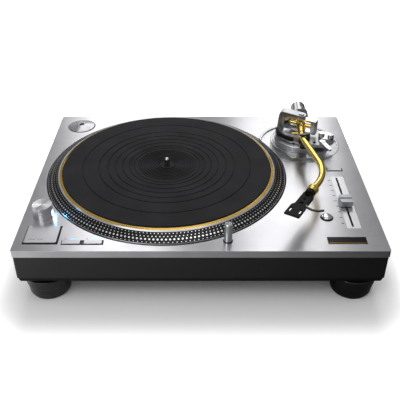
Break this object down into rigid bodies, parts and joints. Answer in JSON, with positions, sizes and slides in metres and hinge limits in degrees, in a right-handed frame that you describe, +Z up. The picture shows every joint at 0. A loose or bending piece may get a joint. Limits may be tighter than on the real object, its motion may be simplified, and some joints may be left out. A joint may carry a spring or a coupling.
{
  "type": "record turntable",
  "caption": "Direct-drive record turntable with a dotted strobe platter, S-shaped gold tonearm, pitch fader, pop-up stylus light and adjustable feet.",
  "frame": {"origin": "centre of the footprint, on the surface that the feet stand on", "axes": "+X to the player's right along the long side, +Y to the back, +Z up"},
  "size_m": [0.453, 0.3516, 0.1313],
  "materials": {
    "deck_metal": "hairline brushed",
    "body_black": "satin black",
    "base_rubber": "matte",
    "screw_steel": "zinc",
    "panel_black": "matte",
    "inlet_black": "gloss",
    "jack_brass": "polished",
    "ground_metal": "polished",
    "badge_black": "gloss black with a thin gold line",
    "fader_metal": "hairline brushed",
    "lamp_housing": "dark, polished",
    "lamp_window": "lit cyan",
    "bearing_steel": "turned",
    "board_green": "lacquered",
    "coil_copper": "lacquered copper",
    "supply_steel": "laminated",
    "control_green": "lacquered",
    "arm_base_metal": "fine blasted",
    "platter_metal": "turned, polished edge",
    "strobe_black": "black with polished dots",
    "brass_sheet": "turned",
    "mat_rubber": "grooved",
    "spindle_steel": "polished",
    "rotor_steel": "zinc",
    "magnet_grey": "ferrite",
    "height_ring_metal": "turned",
    "arm_body_metal": "fine blasted",
    "lock_lever_metal": "turned",
    "bracket_metal": "satin",
    "gimbal_metal": "satin",
    "gold_block": "gold anodised",
    "gold_tube": "gold anodised, polished",
    "rear_shaft_metal": "satin",
    "weight_metal": "satin",
    "dial_metal": "satin silver",
    "gold_collar": "gold anodised",
    "headshell_metal": "fine blasted",
    "finger_black": "black",
    "rest_black": "matte",
    "clip_black": "matte",
    "lift_rubber": "matte",
    "cue_chrome": "polished",
    "skate_chrome": "polished",
    "start_metal": "brushed",
    "speed_33_metal": "satin",
    "speed_45_metal": "satin",
    "knob_metal": "spun top, dark side",
    "reset_metal": "satin",
    "range_metal": "satin",
    "fader_cap": "satin silver",
    "pop_metal": "polished",
    "adaptor_metal": "spun",
    "foot_black": "gloss housing on a rubber pad",
    "stud_steel": "threaded"
  },
  "bodies": {
    "chassis": {"top_plate": "deck_metal", "cast_chassis": "body_black", "rubber_base": "base_rubber", "base_screws": "screw_steel", "terminal_panel": "panel_black", "mains_inlet": "inlet_black", "phono_jacks": "jack_brass", "ground_terminal": "ground_metal", "name_plate": "badge_black", "fader_plate": "fader_metal", "strobe_housing": "lamp_housing", "strobe_window": "lamp_window", "bearing_housing": "bearing_steel", "stator_board": "board_green", "stator_coils": "coil_copper", "power_supply": "supply_steel", "control_board": "control_green", "arm_base": "arm_base_metal"},
    "platter_assembly": {"platter": "platter_metal", "strobe_band": "strobe_black", "brass_plate": "brass_sheet", "mat": "mat_rubber", "spindle_shaft": "spindle_steel", "rotor_yoke": "rotor_steel", "rotor_magnet": "magnet_grey"},
    "height_ring_body": {"height_ring": "height_ring_metal"},
    "height_lock": {"height_lock_lever": "lock_lever_metal"},
    "arm_carrier": {"arm_body": "arm_body_metal", "gimbal_bracket": "bracket_metal", "arm_rest": "rest_black"},
    "gimbal": {"gimbal_ring": "gimbal_metal"},
    "tonearm": {"pivot_block": "gold_block", "arm_tube": "gold_tube", "rear_shaft": "rear_shaft_metal", "headshell": "headshell_metal", "finger_lift": "finger_black"},
    "weight": {"counterweight": "weight_metal"},
    "dial": {"force_dial": "dial_metal"},
    "collar": {"lock_collar": "gold_collar"},
    "clip": {"arm_clamp": "clip_black"},
    "cue_lift": {"lift_bar": "lift_rubber"},
    "cue": {"cue_lever": "cue_chrome"},
    "anti_skate": {"anti_skate_dial": "skate_chrome"},
    "start": {"start_button": "start_metal"},
    "speed_33": {"speed_33_button": "speed_33_metal"},
    "speed_45": {"speed_45_button": "speed_45_metal"},
    "power": {"power_knob": "knob_metal"},
    "reset": {"reset_button": "reset_metal"},
    "range": {"range_button": "range_metal"},
    "fader": {"fader_knob": "fader_cap"},
    "stylus_light": {"pop_up_light": "pop_metal"},
    "adaptor_body": {"adaptor": "adaptor_metal"},
    "stud_front_left": {"foot_stud_front_left": "stud_steel"},
    "foot_front_left": {"foot_front_left": "foot_black"},
    "stud_front_right": {"foot_stud_front_right": "stud_steel"},
    "foot_front_right": {"foot_front_right": "foot_black"},
    "stud_rear_left": {"foot_stud_rear_left": "stud_steel"},
    "foot_rear_left": {"foot_rear_left": "foot_black"},
    "stud_rear_right": {"foot_stud_rear_right": "stud_steel"},
    "foot_rear_right": {"foot_rear_right": "foot_black"}
  },
  "joints": [
    {"name": "platter_spin", "type": "hinge", "parent": "chassis", "child": "platter_assembly", "pos_m": [-0.0471, 0.0035, 0.081], "axis": [0, 0, 1], "continuous": true},
    {"name": "height_ring_turn", "type": "hinge", "parent": "chassis", "child": "height_ring_body", "pos_m": [0.1513, 0.0877, 0.081], "axis": [0, 0, 1], "range_deg": [0, 270]},
    {"name": "height_lock_turn", "type": "hinge", "parent": "chassis", "child": "height_lock", "pos_m": [0.1513, 0.0877, 0.081], "axis": [0, 0, 1], "range_deg": [0, 25]},
    {"name": "arm_lift", "type": "slide", "parent": "chassis", "child": "arm_carrier", "axis": [0, 0, 1], "range_m": [0, 0.006]},
    {"name": "arm_swing", "type": "hinge", "parent": "arm_carrier", "child": "gimbal", "pos_m": [0.1513, 0.0877, 0.1132], "axis": [0, 0, 1], "range_deg": [-45, 0]},
    {"name": "arm_tilt", "type": "hinge", "parent": "gimbal", "child": "tonearm", "pos_m": [0.1513, 0.0877, 0.1132], "axis": [-0.866, 0.5, 0], "range_deg": [0, 9]},
    {"name": "force_dial_turn", "type": "hinge", "parent": "weight", "child": "dial", "pos_m": [0.1513, 0.0877, 0.1132], "axis": [0.0558, 0.9984, 0], "range_deg": [-360, 720]},
    {"name": "weight_travel", "type": "slide", "parent": "tonearm", "child": "weight", "axis": [0.0558, 0.9984, 0], "range_m": [-0.0025, 0.005]},
    {"name": "collar_turn", "type": "hinge", "parent": "tonearm", "child": "collar", "pos_m": [0.14521, -0.08653, 0.1132], "axis": [-0.5195, -0.8545, 0], "range_deg": [0, 45]},
    {"name": "clip_open", "type": "hinge", "parent": "arm_carrier", "child": "clip", "pos_m": [0.1567, 0.0429, 0.1197], "axis": [0, 1, 0], "range_deg": [0, 90]},
    {"name": "cue_turn", "type": "hinge", "parent": "arm_carrier", "child": "cue", "pos_m": [0.1803, 0.0547, 0.099], "axis": [0, 0, 1], "range_deg": [-40, 0]},
    {"name": "cue_rise", "type": "slide", "parent": "arm_carrier", "child": "cue_lift", "axis": [0, 0, 1], "range_m": [0, 0.0019]},
    {"name": "anti_skate_turn", "type": "hinge", "parent": "arm_carrier", "child": "anti_skate", "pos_m": [0.1883, 0.0697, 0.099], "axis": [0, 0, 1], "range_deg": [0, 250]},
    {"name": "power_turn", "type": "hinge", "parent": "chassis", "child": "power", "pos_m": [-0.201, -0.1022, 0.081], "axis": [0, 0, 1], "range_deg": [0, 60]},
    {"name": "fader_slide", "type": "slide", "parent": "chassis", "child": "fader", "axis": [0, 1, 0], "range_m": [-0.0439, 0.0558]},
    {"name": "stylus_light_press", "type": "slide", "parent": "chassis", "child": "stylus_light", "axis": [0, 0, -1], "range_m": [0, 0.024], "stiffness_N_per_m": 60, "springref_m": -0.006},
    {"name": "adaptor_lift", "type": "slide", "parent": "chassis", "child": "adaptor_body", "axis": [0, 0, 1], "range_m": [0, 0.03]},
    {"name": "start_press", "type": "slide", "parent": "chassis", "child": "start", "axis": [0, 0, -1], "range_m": [0, 0.0012], "stiffness_N_per_m": 500, "springref_m": -0.001},
    {"name": "speed_33_press", "type": "slide", "parent": "chassis", "child": "speed_33", "axis": [0, 0, -1], "range_m": [0, 0.0008], "stiffness_N_per_m": 400, "springref_m": -0.001},
    {"name": "speed_45_press", "type": "slide", "parent": "chassis", "child": "speed_45", "axis": [0, 0, -1], "range_m": [0, 0.0008], "stiffness_N_per_m": 400, "springref_m": -0.001},
    {"name": "reset_press", "type": "slide", "parent": "chassis", "child": "reset", "axis": [0, 0, -1], "range_m": [0, 0.001], "stiffness_N_per_m": 400, "springref_m": -0.001},
    {"name": "range_press", "type": "slide", "parent": "chassis", "child": "range", "axis": [0, 0, -1], "range_m": [0, 0.0008], "stiffness_N_per_m": 400, "springref_m": -0.001},
    {"name": "foot_level_front_left", "type": "slide", "parent": "chassis", "child": "stud_front_left", "axis": [0, 0, -1], "range_m": [0, 0.005]},
    {"name": "foot_turn_front_left", "type": "hinge", "parent": "stud_front_left", "child": "foot_front_left", "pos_m": [-0.1935, -0.147, 0.02], "axis": [0, 0, -1], "range_deg": [0, 1200]},
    {"name": "foot_level_front_right", "type": "slide", "parent": "chassis", "child": "stud_front_right", "axis": [0, 0, -1], "range_m": [0, 0.005]},
    {"name": "foot_turn_front_right", "type": "hinge", "parent": "stud_front_right", "child": "foot_front_right", "pos_m": [0.1935, -0.147, 0.02], "axis": [0, 0, -1], "range_deg": [0, 1200]},
    {"name": "foot_level_rear_left", "type": "slide", "parent": "chassis", "child": "stud_rear_left", "axis": [0, 0, -1], "range_m": [0, 0.005]},
    {"name": "foot_turn_rear_left", "type": "hinge", "parent": "stud_rear_left", "child": "foot_rear_left", "pos_m": [-0.1935, 0.147, 0.02], "axis": [0, 0, -1], "range_deg": [0, 1200]},
    {"name": "foot_level_rear_right", "type": "slide", "parent": "chassis", "child": "stud_rear_right", "axis": [0, 0, -1], "range_m": [0, 0.005]},
    {"name": "foot_turn_rear_right", "type": "hinge", "parent": "stud_rear_right", "child": "foot_rear_right", "pos_m": [0.1935, 0.147, 0.02], "axis": [0, 0, -1], "range_deg": [0, 1200]}
  ],
  "couplings": [
    {"joint": "height_ring_turn", "follows": "arm_lift", "rad_per_m": 785.39},
    {"joint": "clip_open", "follows": "arm_tilt", "ratio": 10},
    {"joint": "force_dial_turn", "follows": "weight_travel", "rad_per_m": 2513.2},
    {"joint": "cue_turn", "follows": "cue_rise", "rad_per_m": -367.4},
    {"joint": "foot_turn_front_left", "follows": "foot_level_front_left", "rad_per_m": 4188.7},
    {"joint": "foot_turn_front_right", "follows": "foot_level_front_right", "rad_per_m": 4188.7},
    {"joint": "foot_turn_rear_left", "follows": "foot_level_rear_left", "rad_per_m": 4188.7},
    {"joint": "foot_turn_rear_right", "follows": "foot_level_rear_right", "rad_per_m": 4188.7}
  ]
}
